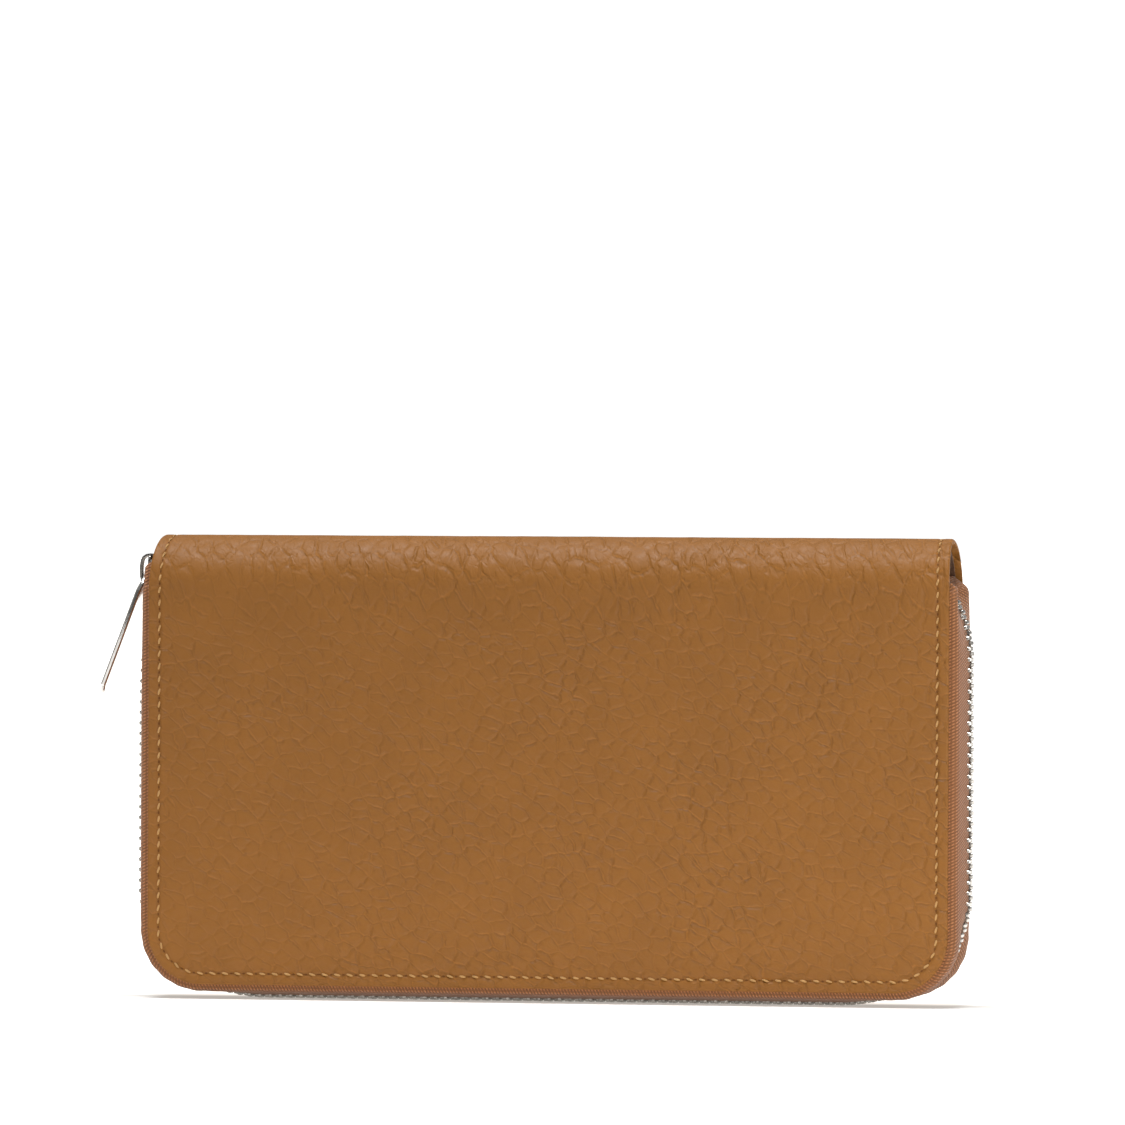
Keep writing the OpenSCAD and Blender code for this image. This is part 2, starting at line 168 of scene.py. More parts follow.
def prism(shape, loops, low, high, bevel, place, steps=3):
    """Plate with bevelled rims: the first loop is its outline, counterclockwise,
    and the others are holes, clockwise. place maps (u, v, w) to a point."""
    levels = []
    for k in range(steps + 1):
        a = math.pi / 2 * k / steps
        levels.append((bevel * (1 - math.sin(a)), low + bevel * (1 - math.cos(a))))
    levels += [(d, high + low - w) for d, w in reversed(levels)]
    for loop in loops:
        rings = []
        for d, w in levels:
            rings.append([place(u, v, w) for u, v in offset_loop(loop, d)])
        shape.loft(rings, caps=False)
    for w, flip in ((low, True), (high, False)):
        flat = [[Vector((u, v, 0)) for u, v in offset_loop(loop, bevel)] for loop in loops]
        verts = [place(p.x, p.y, w) for loop in flat for p in loop]
        tris = [tuple(t) for t in tessellate_polygon(flat)]
        shape.add(verts, [t[::-1] if flip else t for t in tris])


def rounded(points, radius, steps):
    """Rounds the corners of a closed 2-D loop."""
    out, n = [], len(points)
    for i in range(n):
        p, a, b = (np.array(points[j % n], float) for j in (i, i - 1, i + 1))
        u, v = a - p, b - p
        lu, lv = np.linalg.norm(u), np.linalg.norm(v)
        u, v = u / lu, v / lv
        half = math.acos(np.clip(u @ v, -1, 1)) / 2
        if half > math.radians(86):
            out.append(p)
            continue
        cut = min(radius / math.tan(half), 0.45 * lu, 0.45 * lv)
        r = cut * math.tan(half)
        mid = (u + v) / np.linalg.norm(u + v)
        centre = p + mid * (r / math.sin(half))
        s, e = p + u * cut - centre, p + v * cut - centre
        turn = math.atan2(s[0] * e[1] - s[1] * e[0], s @ e)
        for k in range(steps + 1):
            t = turn * k / steps
            c, w = math.cos(t), math.sin(t)
            out.append(centre + np.array([s[0] * c - s[1] * w, s[0] * w + s[1] * c]))
    return out


def counterclockwise(loop):
    p = np.array(loop, float)
    q = np.roll(p, -1, 0)
    area = float(np.sum(p[:, 0] * q[:, 1] - q[:, 0] * p[:, 1]) / 2)
    return loop[::-1] if area < 0 else loop


def normals_2d(points):
    """Unit normals to the left of an open 2-D line."""
    p = np.array(points, float)
    d = np.gradient(p, axis=0)
    n = np.stack([-d[:, 1], d[:, 0]], 1)
    return n / np.linalg.norm(n, axis=1)[:, None]


def run_lengths(points):
    """Distance of each point from the first, along the line."""
    steps = np.linalg.norm(np.diff(np.array(points, float), axis=0), axis=1)
    return np.concatenate([[0], np.cumsum(steps)])


def shrunk(place, scale):
    """The same placing function, for a form drawn that many times smaller."""
    return lambda u, v, w: place(u * scale, v * scale, w * scale)


def add_block(shape, place, profile, cut_w, cut_h, side=1):
    """Metal block of eight-sided sections (across, half width, half height); its corners
    are cut off by the two given shares."""
    rings = []
    for y, w, h in profile:
        c, k = cut_w * w, cut_h * h
        loop = [(-w + c, -h), (w - c, -h), (w, -h + k), (w, h - k), (w - c, h), (-w + c, h),
                (-w, h - k), (-w, -h + k)]
        rings.append([place(a, side * y, n) for a, n in loop])
    shape.loft(rings)


# ---- materials
class Nodes:
    """A material's node tree, written as calls."""

    def __init__(self, name):
        self.mat = bpy.data.materials.new(name)
        self.mat.use_nodes = True
        self.tree = self.mat.node_tree
        self.bsdf = self.tree.nodes["Principled BSDF"]

    def link(self, source, target):
        self.tree.links.new(source, target)

    def put(self, node, socket, value):
        target = node.inputs[socket]
        if isinstance(value, bpy.types.NodeSocket):
            self.link(value, target)
        else:
            target.default_value = value

    def node(self, kind, out=0, props=None, **inputs):
        n = self.tree.nodes.new(kind)
        for key, value in (props or {}).items():
            setattr(n, key, value)
        for key, value in inputs.items():
            self.put(n, int(key[1:]) if key[0] == "i" and key[1:].isdigit() else key, value)
        return n.outputs[out]

    def math(self, op, a, b=0.0, c=0.0):
        return self.node("ShaderNodeMath", props={"operation": op}, i0=a, i1=b, i2=c)

    def vec(self, op, a, b):
        return self.node("ShaderNodeVectorMath", props={"operation": op}, i0=a, i1=b)

    def product(self, a, *factors):
        for factor in factors:
            a = self.math("MULTIPLY", a, factor)
        return a

    def split(self, v):
        parts = self.tree.nodes.new("ShaderNodeSeparateXYZ")
        self.link(v, parts.inputs[0])
        return parts.outputs

    def scaled(self, v, s):
        n = self.tree.nodes.new("ShaderNodeVectorMath")
        n.operation = "SCALE"
        self.link(v, n.inputs[0])
        n.inputs["Scale"].default_value = s
        return n.outputs[0]

    def uv_mm(self):
        return self.scaled(self.node("ShaderNodeTexCoord", out=2), 1 / MM)

    def object_mm(self):
        return self.scaled(self.node("ShaderNodeTexCoord", out=3), 1 / MM)

    def turned(self, v, angle=0.0, scale=(1, 1, 1)):
        return self.node("ShaderNodeMapping", Vector=v, Rotation=(0, 0, math.radians(angle)),
                         Scale=scale)

    def noise(self, v, scale, detail=2.0, rough=0.5, out=0):
        return self.node("ShaderNodeTexNoise", out=out, Vector=v, Scale=scale, Detail=detail,
                         Roughness=rough)

    def voronoi(self, v, scale, feature="DISTANCE_TO_EDGE", randomness=1.0):
        return self.node("ShaderNodeTexVoronoi",
                         props={"feature": feature, "voronoi_dimensions": "2D"},
                         Vector=v, Scale=scale, Randomness=randomness)

    def ramp(self, fac, low, high, out_low=0.0, out_high=1.0):
        return self.node("ShaderNodeMapRange", props={"interpolation_type": "SMOOTHSTEP"},
                         Value=fac, i1=low, i2=high, i3=out_low, i4=out_high)

    def ridge(self, distance, reach):
        """1 on a line, falling to 0 at the given distance from it."""
        return self.math("SUBTRACT", 1.0, self.ramp(distance, 0.0, reach))

    def mix(self, fac, a, b):
        return self.node("ShaderNodeMix", out=2, props={"data_type": "RGBA"}, i0=fac, i6=a, i7=b)

    def wave(self, v, direction, scale, distortion):
        return self.node("ShaderNodeTexWave", out=1, props={"wave_type": "BANDS",
                         "bands_direction": direction}, Vector=v, Scale=scale,
                         Distortion=distortion)

    def warp(self, v, scale, amount):
        """Moves the coordinates about a little, so that regular patterns look grown."""
        shift = self.vec("SUBTRACT", self.noise(v, scale, out=1), (0.5, 0.5, 0.5))
        return self.vec("ADD", v, self.scaled(shift, amount))

    def bump(self, height, depth_mm):
        return self.node("ShaderNodeBump", Strength=1.0, Distance=depth_mm * MM, Height=height)

    def finish(self, colour, roughness, normal=None, **sockets):
        self.put(self.bsdf, "Base Color", colour)
        self.put(self.bsdf, "Roughness", roughness)
        if normal is not None:
            self.link(normal, self.bsdf.inputs["Normal"])
        for key, value in sockets.items():
            self.bsdf.inputs[key.replace("_", " ")].default_value = value
        return self.mat


def shade(rgb, k=1.0):
    return (rgb[0] * k, rgb[1] * k, rgb[2] * k, 1.0)


LEATHER = (0.223, 0.087, 0.0121)
INNER_LEATHER = (0.30, 0.13, 0.038)
SUEDE = (0.070, 0.030, 0.012)
TAPE = (0.290, 0.117, 0.044)
THREAD = (0.52, 0.29, 0.10)


def leather_material(name, base, cell, crease, grain):
    """Pebbled leather. Its coordinates are the unrolled hide, in millimetres: x along the
    fold and v down from its apex. cell is a pebble's size, crease the depth of the lines
    between pebbles, and grain the share of fine pores in it."""
    m = Nodes(name)
    uv = m.uv_mm()
    x, v, _ = m.split(uv)
    # pebbles are drawn out down the hide within 26 mm of the fold, and slant beyond it
    near_fold = m.math("MAXIMUM", m.math("MINIMUM", v, 26.0), -26.0)
    drawn = m.node("ShaderNodeCombineXYZ", i0=x,
                   i1=m.math("SUBTRACT", v, m.math("MULTIPLY", near_fold, 0.42)))
    p = m.warp(m.turned(m.turned(drawn, -32), 0, (0.86, 1.16, 1)), 0.16, 2.2)
    p = m.warp(p, 0.42, 1.5)
    p = m.warp(p, 1.3, 0.3)
    edge = m.voronoi(p, 1 / cell, randomness=0.9)
    # crease lines shifted 0.32 mm down the hide, to place a painted highlight on each crease's
    # lower lip
    lip_highlight = m.voronoi(m.vec("ADD", p, (0.0, 0.32, 0.0)), 1 / cell, randomness=0.9)
    dome = m.voronoi(p, 1 / cell, "SMOOTH_F1", randomness=0.9)
    small = m.voronoi(m.warp(p, 1.2, 0.5), 2.3 / cell)
    # how strong the creases are: patchy, broken along their length, weaker at the left
    from_fold = m.ramp(m.math("ABSOLUTE", v), 14.0, 50.0, 0.9, 1.0)
    patch = m.ramp(m.noise(uv, 0.035, 1.0), 0.38, 0.66, 0.8, 1.15)
    across = m.ramp(x, -80.0, 10.0, 0.75, 1.0)
    broken = m.ramp(m.noise(p, 0.34, 1.0), 0.36, 0.58, 0.5, 1.0)
    force = m.product(from_fold, patch, across, broken)
    height = m.product(m.math("ADD", m.ridge(edge, 0.24), m.math("MULTIPLY", dome, 0.7)), force)
    height = m.math("ADD", height, m.product(m.ridge(small, 0.2), force, 0.2))
    height = m.math("ADD", height, m.math("MULTIPLY", m.noise(p, 2.6, 3.0, 0.6), grain))
    height = m.math("SUBTRACT", 1.0, height)
    tone = m.noise(uv, 0.06, 3.0, 0.55)
    colour = m.mix(m.ramp(tone, 0.3, 0.7), shade(base, 0.96), shade(base, 1.04))
    # painted highlight: the lower lip of each crease made lighter, as where overhead light catches
    # it
    colour = m.mix(m.product(m.ridge(lip_highlight, 0.08), force, 0.55), colour, shade(base, 1.5))
    # painted shade: the crease lines between pebbles made darker, as shade falling in them
    colour = m.mix(m.product(m.ridge(edge, 0.11), force, 0.34), colour, shade(base, 0.5))
    speck = m.ramp(m.voronoi(uv, 0.07, "F1"), 0.0, 0.045, 0.35, 0.0)
    colour = m.mix(speck, colour, shade(base, 0.5))
    rough = m.ramp(m.noise(uv, 0.4, 3.0), 0.3, 0.7, 0.54, 0.68)
    return m.finish(colour, rough, m.bump(height, crease), Specular_IOR_Level=0.3)


def suede_material(name, base):
    m = Nodes(name)
    p = m.object_mm()
    nap = m.noise(p, 2.4, 4.0, 0.7)
    cloud = m.noise(p, 0.12, 2.0)
    colour = m.mix(m.ramp(nap, 0.3, 0.7), shade(base, 0.75), shade(base, 1.3))
    colour = m.mix(m.ramp(cloud, 0.35, 0.65, 0.0, 0.35), colour, shade(base, 1.6))
    return m.finish(colour, m.ramp(nap, 0.2, 0.8, 0.85, 0.97), m.bump(nap, 0.12),
                    Sheen_Weight=0.35, Sheen_Roughness=0.5, Specular_IOR_Level=0.2)


def tape_material(name, base):
    """Woven tape: ribs run along it, with slanted picks across them."""
    m = Nodes(name)
    uv = m.uv_mm()
    p = m.warp(uv, 1.4, 0.08)
    ribs = m.wave(p, "Y", 0.37, 0.4)
    picks = m.wave(m.turned(p, 24), "X", 0.45, 0.5)
    weave = m.math("MULTIPLY", picks, m.math("MULTIPLY_ADD", ribs, 0.6, 0.4))
    fuzz = m.noise(uv, 5.0, 2.0)
    dots = m.ramp(weave, 0.25, 0.8)
    colour = m.mix(dots, shade(base, 0.6), shade(base, 1.42))
    colour = m.mix(m.ramp(m.noise(uv, 0.08, 2.0), 0.3, 0.7, 0.0, 0.3), colour, shade(base, 0.8))
    height = m.math("ADD", weave, m.math("MULTIPLY", fuzz, 0.25))
    return m.finish(colour, m.ramp(fuzz, 0.2, 0.8, 0.78, 0.93), m.bump(height, 0.2),
                    Sheen_Weight=0.2, Specular_IOR_Level=0.25)


def thread_material(name, base):
    m = Nodes(name)
    uv = m.uv_mm()
    twist = m.wave(uv, "DIAGONAL", 1.6, 0.6)
    lint = m.noise(uv, 6.0, 2.0)
    colour = m.mix(twist, shade(base, 0.72), shade(base, 1.15))
    return m.finish(colour, m.ramp(lint, 0.2, 0.8, 0.5, 0.7), m.bump(twist, 0.08),
                    Specular_IOR_Level=0.4)


def metal_material(name, base, rough, wear, dark):
    """Polished metal with faint scratches and duller, darker patches."""
    m = Nodes(name)
    p = m.object_mm()
    cloud = m.noise(p, 0.55, 3.0)
    lines = m.noise(m.turned(p, 30, (6.0, 0.4, 1.0)), 1.6, 3.0, 0.7)
    colour = m.mix(m.ramp(cloud, 0.35, 0.7), shade(base), shade(base, dark))
    roughness = m.math("ADD", rough, m.math("MULTIPLY", m.ramp(lines, 0.45, 0.75), wear))
    return m.finish(colour, roughness, m.bump(lines, 0.01), Metallic=1.0)


def board_material(name):
    m = Nodes(name)
    p = m.object_mm()
    fibres = m.noise(m.turned(p, 0, (0.5, 1.0, 3.0)), 2.0, 4.0, 0.7)
    colour = m.mix(m.ramp(fibres, 0.3, 0.7), (0.50, 0.46, 0.38, 1), (0.62, 0.58, 0.50, 1))
    return m.finish(colour, m.ramp(fibres, 0.2, 0.8, 0.85, 0.95), m.bump(fibres, 0.06),
                    Specular_IOR_Level=0.2)


def painted_hole_shade_material(name):
    m = Nodes(name)
    p = m.object_mm()
    grit = m.noise(p, 4.0, 2.0)
    # dark brown: painted shade of the needle hole's inside
    colour = m.mix(grit, (0.10, 0.038, 0.010, 1), (0.17, 0.066, 0.018, 1))
    return m.finish(colour, m.ramp(grit, 0.2, 0.8, 0.8, 0.95), m.bump(grit, 0.03),
                    Specular_IOR_Level=0.15)


cover_leather = leather_material("pebbled_leather", LEATHER, 3.5, 0.3, 0.08)
inner_leather = leather_material("smooth_leather", INNER_LEATHER, 2.4, 0.05, 0.12)
suede = suede_material("brown_suede", SUEDE)
tape_cloth = tape_material("woven_tape", TAPE)
thread = thread_material("stitching_thread", THREAD)
needle_hole_shade = painted_hole_shade_material("needle_hole_shade")
zip_metal = metal_material("zip_nickel", (0.50, 0.475, 0.44), 0.22, 0.18, 0.62)
bright_metal = metal_material("polished_nickel", (0.74, 0.72, 0.69), 0.055, 0.08, 0.86)
dark_metal = metal_material("dark_nickel", (0.30, 0.275, 0.25), 0.2, 0.15, 0.6)
cardboard = board_material("grey_board")


# ---- covers and linings
# how far the leather draws in at the fold's left and right end
FOLD_INSET = {-1: 1.7, 1: 0.7}
BACK_UV_SHIFT = 400


def on_cover(side, x, v, h):
    """Point of one half at x, v along the hide from the fold's apex, h above its outside."""
    r = HALF_T + h
    if v < ARC_V:
        a = v / HALF_T
        pull = (1 - v / ARC_V) ** 1.3 * FOLD_INSET[1 if x > 0 else -1] * abs(x) / HALF_W
        return (x - math.copysign(pull, x), side * r * math.sin(a), FOLD_Z + r * math.cos(a))
    return (x, side * r, FOLD_Z - (v - ARC_V))


def hide_grid(inset, distances, step):
    """Flat pattern of one half as (x, v, distance from the cut edge) and its faces."""
    half_w, r = HALF_W - inset, CORNER_R - inset
    depths = [d for d in distances if d < r] + [r]
    rows = list(np.linspace(0, ARC_V, 32)) + list(
        np.linspace(ARC_V, CORNER_V, int((CORNER_V - ARC_V) / step) + 1)[1:])
    cols = np.linspace(-CORNER_X, CORNER_X, int(2 * CORNER_X / step) + 1)
    index, pts, faces = {}, [], []

    def at(x, v, d):
        key = (round(x, 4), round(v, 4))
        if key not in index:
            index[key] = len(pts)
            pts.append((x, v, d))
        return index[key]

    def quads(grid):
        for a, b in zip(grid, grid[1:]):
            for i in range(len(a) - 1):
                f = [a[i], a[i + 1], b[i + 1], b[i]]
                f = [k for j, k in enumerate(f) if k != f[j - 1]]
                if len(f) > 2:
                    faces.append(f)

    quads([[at(x, v, min(r, half_w - abs(x))) for x in cols] for v in rows])
    bottom = END_V - inset
    quads([[at(x, bottom - d, d) for x in cols] for d in reversed(depths)])
    angles = np.linspace(0, math.pi / 2, 25)
    for s in (-1, 1):
        quads([[at(s * (half_w - d), v, d) for d in depths] for v in rows])
        quads([[at(s * (CORNER_X + (r - d) * math.cos(a)), CORNER_V + (r - d) * math.sin(a), d)
                for d in depths] for a in angles])
    return pts, faces


def shell(side, pts, faces, outer, inner):
    """Closed skin of one half; outer and inner give each point's height."""
    shape = Shape()
    n = len(pts)
    uv = [(side * -x + (0 if side == FRONT else BACK_UV_SHIFT), -side * v) for x, v, d in pts]
    top = [on_cover(side, x, v, outer(x, v, d)) for x, v, d in pts]
    low = [on_cover(side, x, v, inner(x, v, d)) for x, v, d in pts]
    edges = [(a, b) for f in faces for a, b in zip(f, f[1:] + f[:1])]
    count = Counter((min(a, b), max(a, b)) for a, b in edges)
    walls = [(b, a, a + n, b + n) for a, b in edges if count[(min(a, b), max(a, b))] == 1]
    both = list(faces) + [[i + n for i in reversed(f)] for f in faces] + walls
    shape.add(top + low, both, uv + uv)
    return shape


def edge_round(d, r):
    """Drop of a rounded cut edge of radius r, at distance d from it."""
    return r - math.sqrt(max(0.0, r * r - (r - d) ** 2)) if d < r else 0.0


SEAM_DEPTH, SEAM_WIDTH = 0.26, 0.42
CROWN, CROWN_RUN = 0.28, 7
WAVE, LONG_WAVE, SHORT_WAVE = 0.09, 19, (4.2, 6.0)
LEATHER_EDGE_R, LEATHER_SINK = 0.5, 0.08


def cover_height(x, v, d):
    """Outside of the leather: rounded cut edge, sunk seam, gentle waves. The waves and the
    crown end at the fold's apex, so that the two halves meet there."""
    sunk = SEAM_DEPTH * math.exp(-((d - STITCH_INSET) / SEAM_WIDTH) ** 2)
    crown = CROWN * float(smoothstep((d - STITCH_INSET) / CROWN_RUN))
    crown *= 1 - 0.25 * abs(x) / HALF_W
    wave = noise.noise(Vector((x / LONG_WAVE, v / LONG_WAVE, 3.1))) * WAVE
    wave += noise.noise(Vector((x / SHORT_WAVE[0], v / SHORT_WAVE[1], 9.7))) * WAVE
    fade = float(smoothstep((d - 3.2) / 5))
    apex = float(smoothstep(v / 3.0))
    return (crown + wave * fade) * apex - sunk - edge_round(d, LEATHER_EDGE_R) - LEATHER_SINK


# distances from the cut edge at which the grids have a line
EDGE_STEPS = (0, 0.04, 0.11, 0.21, 0.35, 0.5, 0.75, 1.05, 1.4, 1.75, 2.05, 2.3, 2.5, 2.7, 2.9,
              3.1, 3.35, 3.7, 4.2, 4.9, 5.8, 6.8, 7.8, 8.8, 9.8, 10.8, 11.8)
LINING_STEPS = (0, 0.1, 0.3, 0.8, 2, 4, 7)
LEATHER_T = 1.2
LINING_INSET, LINING_OUT, LINING_IN = 1.5, 1.82, 2.2


def fold_ends(side):
    """Bodies and points at either end of one half's fold; nothing in the script bends the fold
    with them.
    """
    if side == FRONT:
        return ("divider", "front_half", (0, 0, TOP_Z * MM), (0, 0, FOLD_Z * MM))
    return ("back_half", "divider", (0, 0, FOLD_Z * MM), (0, 0, TOP_Z * MM))


def bend(obj, side):
    a, b, start, end = fold_ends(side)
    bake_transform(obj)
    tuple(start)
    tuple(end)


for side in (FRONT, BACK):
    label = SIDE_NAME[side]
    pts, faces = hide_grid(0, EDGE_STEPS, 1.0)
    obj = piece(f"{label}_cover_leather",
                shell(side, pts, faces, cover_height, lambda x, v, d: -LEATHER_T),
                cover_leather)
    bend(obj, side)
    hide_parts(f"{label}_cover")
    pts, faces = hide_grid(LINING_INSET, LINING_STEPS, 3.0)
    obj = piece(f"{label}_lining_suede",
                shell(side, pts, faces, lambda x, v, d: -LINING_OUT - edge_round(d, 0.1),
                      lambda x, v, d: -LINING_IN + edge_round(d, 0.1)), suede)
    bend(obj, side)
    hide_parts(f"{label}_lining")
    frame["nodes"][f"{label}_board"].data.materials.clear()
    frame["nodes"][f"{label}_board"].data.materials.append(cardboard)


# ---- stitching
def seam_path(inset):
    """Points (x, v) down the left side, along the zip edge and up the right side."""
    r = CORNER_R - inset
    turn = [(CORNER_X + r * math.cos(a), CORNER_V + r * math.sin(a))
            for a in np.linspace(0, math.pi / 2, 40)]
    right = [(CORNER_X + r, v) for v in np.linspace(0.4, CORNER_V, 300)] + turn
    return np.array([(-x, v) for x, v in right] + right[::-1])


def along(path, distances):
    """Points and unit directions at given distances along a polyline, and its length."""
    s = run_lengths(path)

    def at(distance):
        return np.stack([np.interp(distance, s, column) for column in path.T], 1)
    distances, step = np.array(distances), 0.3
    way = at(distances + step) - at(distances - step)
    return at(distances), way / np.maximum(np.linalg.norm(way, axis=1), 1e-9)[:, None], s[-1]


def add_stitch(shape, place, length, radius, slant, rings=7, sides=8):
    """One plump twisted stitch; place maps (along, across, height) to a point."""
    loops, uvs = [], []
    for i in range(rings):
        t = 2 * i / (rings - 1) - 1
        r = radius * math.sqrt(max(0.02, 1 - abs(t) ** 3.2))
        loop = []
        for j in range(sides):
            a = 2 * math.pi * j / sides
            k = r * (1 + 0.13 * math.cos(2 * a - 3.2 * t))
            loop.append(place(t * length / 2, slant * t + k * math.cos(a),
                              -0.42 * t ** 4 * radius / 0.3 + 0.85 * k * math.sin(a)))
            uvs.append((t * length / 2, a * radius))
        loops.append(loop)
    shape.loft(loops, uvs=uvs)


def add_hole(shape, place, half_len, half_w):
    """Needle hole: a small dish, narrower at its bottom, coloured dark as painted shade of the
    hole.
    """
    rings = [[place(k * half_len * math.cos(a), k * half_w * math.sin(a), h)
              for a in np.linspace(0, 2 * math.pi, 10, endpoint=False)]
             for k, h in ((1.0, 0.0), (0.6, -0.1))]
    shape.loft(rings)


for side in (FRONT, BACK):
    label = SIDE_NAME[side]
    path = seam_path(STITCH_INSET)
    total = along(path, [0])[2]
    count = int(total / STITCH_PITCH)
    pitch = total / count
    stitches, holes = Shape(), Shape()
    at, way, _ = along(path, (np.arange(count) + 0.5) * pitch)

    def seam_place(i, base):
        (x, v), (dx, dv) = at[i], way[i]

        def place(a, b, h):
            return on_cover(side, x + a * dx - b * dv, v + a * dv + b * dx, base + h)
        return place

    for i in range(count):
        wobble = 0.05 * math.sin(i * 2.3) + 0.03 * math.sin(i * 0.7)
        add_stitch(stitches, seam_place(i, STITCH_H), STITCH_LEN + wobble, STITCH_R, 0.2 + wobble)
    at, way, _ = along(path, np.arange(count + 1) * pitch)
    for i in range(1, count):
        add_hole(holes, seam_place(i, HOLE_H), *HOLE_SIZE)
    obj = piece(f"{label}_stitching_thread", stitches, thread, sharp=80)
    bend(obj, side)
    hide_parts(f"{label}_stitching")
    # dark dishes at the needle holes, carrying painted shade of the holes
    obj = piece(f"{label}_painted_hole_shades", holes, needle_hole_shade)
    bend(obj, side)


# ---- zip line
# above these heights the tape's end is tucked in, and at the right it is cut off
TAPE_END_Z = {-1: 103.0, 1: 99.0}
TAPE_END_DEPTH, TAPE_CUT_Z = 2.0, 102.5
TAPE_TOP_Z = FOLD_Z + 8.5
SIDE_STATIONS = 150


def chain_shift(x_sign, z):
    """How far the chain turns in near the fold. At the right it then runs out straight."""
    if x_sign < 0:
        return 3.2 * (max(0.0, z - 66) / 35.3) ** 2.46
    if z < 96.5:
        return 3.6 * (max(0.0, z - 82) / 14.3) ** 2.2
    return 3.6 * (14.5 / 14.3) ** 2.2 + 0.56 * (z - 96.5)


def zip_base():
    """Cut edge of the covers as points and outward directions, from the left top down,
    along the zip edge and up to the right top."""
    turn = [(CORNER_X + CORNER_R * math.cos(a), CORNER_Z - CORNER_R * math.sin(a),
             math.cos(a), -math.sin(a)) for a in np.linspace(0, math.pi / 2, 41)]
    heights = np.linspace(TAPE_TOP_Z, CORNER_Z, SIDE_STATIONS)[:-1]
    side = [(HALF_W, z, 1.0, 0.0) for z in heights]
    bottom = [(x, FOOT_Z, 0.0, -1.0) for x in np.linspace(0, CORNER_X, 120)[:-1]]
    right = bottom + turn[::-1] + side[::-1]
    left = [(-x, z, -nx, nz) for x, z, nx, nz in right[1:]][::-1]
    return left + right


def corner_travel(x, z):
    """Distance round a bottom corner: negative on the side run above it."""
    if abs(x) < CORNER_X:
        return CORNER_R * math.pi / 2 + (CORNER_X - abs(x))
    if z > CORNER_Z:
        return CORNER_Z - z
    return CORNER_R * math.atan2(CORNER_Z - z, max(1e-9, abs(x) - CORNER_X))


def corner_pull(x, z):
    """1 in the middle of a bottom corner, 0 on the straight runs."""
    s = corner_travel(x, z)
    return float(smoothstep((s + 9) / 14)) * float(smoothstep((34 - s) / 22))


def zip_sections():
    """Stations of the zip: base point, outward, chain height, shoulder height, shift
    towards the middle, and how deep the tape's end is tucked in."""
    out = []
    for x, z, nx, nz in zip_base():
        pull = corner_pull(x, z)
        pressed = 0.8 * float(smoothstep((corner_travel(x, z) - 4) / 18))
        end = math.copysign(1, x)
        shift = chain_shift(end, z) if z > CORNER_Z else 0.0
        sunk = float(smoothstep((z - TAPE_END_Z[end]) / 3.5))
        chain_n, shoulder_n = 3.2 - pressed - 3.0 * pull, 3.1 - pressed - 0.2 * pull
        out.append((x, z, nx, nz, chain_n * (1 - sunk), shoulder_n * (1 - sunk), shift,
                    TAPE_END_DEPTH * sunk))
    return out


sections = zip_sections()

FLANGE_Y, INSIDE_FOLD_R, HALF_TAPE_T = 10.5, 9.3, 0.3
# share of the way from the toothed edge to the flange, rise, and how far it is the chain's own
TAPE_RISE = ((1.0, -0.12, 0.0), (1.0, 0.1, 0.0), (0.985, 0.3, 0.0), (0.955, 0.45, 0.0),
             (0.9, 0.555, 0.0), (0.82, 0.63, 0.02), (0.72, 0.69, 0.06), (0.6, 0.755, 0.14),
             (0.47, 0.82, 0.3), (0.34, 0.885, 0.52), (0.22, 0.94, 0.75), (0.12, 0.98, 0.92),
             (0.05, 1.0, 1.0), (0.0, 1.0, 1.0))


def tape_profile(side, chain_n, shoulder_n, shift, z):
    """Cross-section of the tape as (y, outward), from its flange to its toothed edge."""
    edge_y = 1.35 + 0.9 * float(smoothstep((z - 103) / 4))
    top_y = FLANGE_Y
    if z > FOLD_Z:
        top_y = min(top_y, math.sqrt(max(1.0, INSIDE_FOLD_R ** 2 - (z - FOLD_Z) ** 2)))
    pts = [(top_y, -4.6), (top_y, -2.5), (top_y, -0.9)]
    for across, rise, to_chain in TAPE_RISE:
        y = edge_y + (top_y - edge_y) * across
        n = shoulder_n * rise * (1 - to_chain) + chain_n * rise * to_chain
        pts.append((y, n - shift * float(smoothstep(1.2 * (1.03 - across)))))
    return [(side * y, n) for y, n in pts]


def build_tape(side):
    shape = Shape()
    rings, uvs = [], []
    travelled, last = 0.0, None
    for x, z, nx, nz, chain_n, shoulder_n, shift, tucked in sections:
        if x > 0 and z > TAPE_CUT_Z:
            break
        profile = tape_profile(side, chain_n, shoulder_n, shift, z)
        pull = corner_pull(x, z)
        pleat = 0.07 * math.sin(travelled * 1.7 + side) * pull if pull > 0.2 else 0.0
        width = list(run_lengths(profile))
        faces = []
        for half_t in (HALF_TAPE_T, -HALF_TAPE_T):
            faces.append([(y + half_t * a, n + half_t * b
                           + pleat * math.sin(math.pi * i / len(profile)))
                          for i, ((y, n), (a, b)) in enumerate(zip(profile, normals_2d(profile)))])
        rings.append([(x + nx * (n - tucked), y, z + nz * (n - tucked))
                      for y, n in faces[0] + faces[1][::-1]])
        if last is not None:
            travelled += math.dist(last, (x, z))
        last = (x, z)
        uvs += [(travelled, w) for w in width + width[::-1]]
    shape.loft(rings, uvs=uvs)
    return shape


chain_line = np.array([(x + nx * (n - shift - tucked), z + nz * (n - shift - tucked))
                       for x, z, nx, nz, n, _, shift, tucked in sections])

for side in (FRONT, BACK):
    label = SIDE_NAME[side]
    obj = piece(f"{label}_tape_cloth", build_tape(side), tape_cloth, sharp=60)
    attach(obj, HALF_BODY[side])
    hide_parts(f"{label}_zip_tape")

# tooth sections from its root on the tape to its nose: across, half width, half height
TOOTH = ((3.15, 0.26, 0.62), (3.0, 0.42, 0.86), (2.2, 0.5, 0.98), (1.5, 0.52, 1.02),
         (1.05, 0.44, 0.98), (0.55, 0.42, 0.95), (0.15, 0.54, 1.0), (-0.45, 0.55, 1.0),
         (-0.8, 0.5, 0.9), (-0.98, 0.36, 0.66))
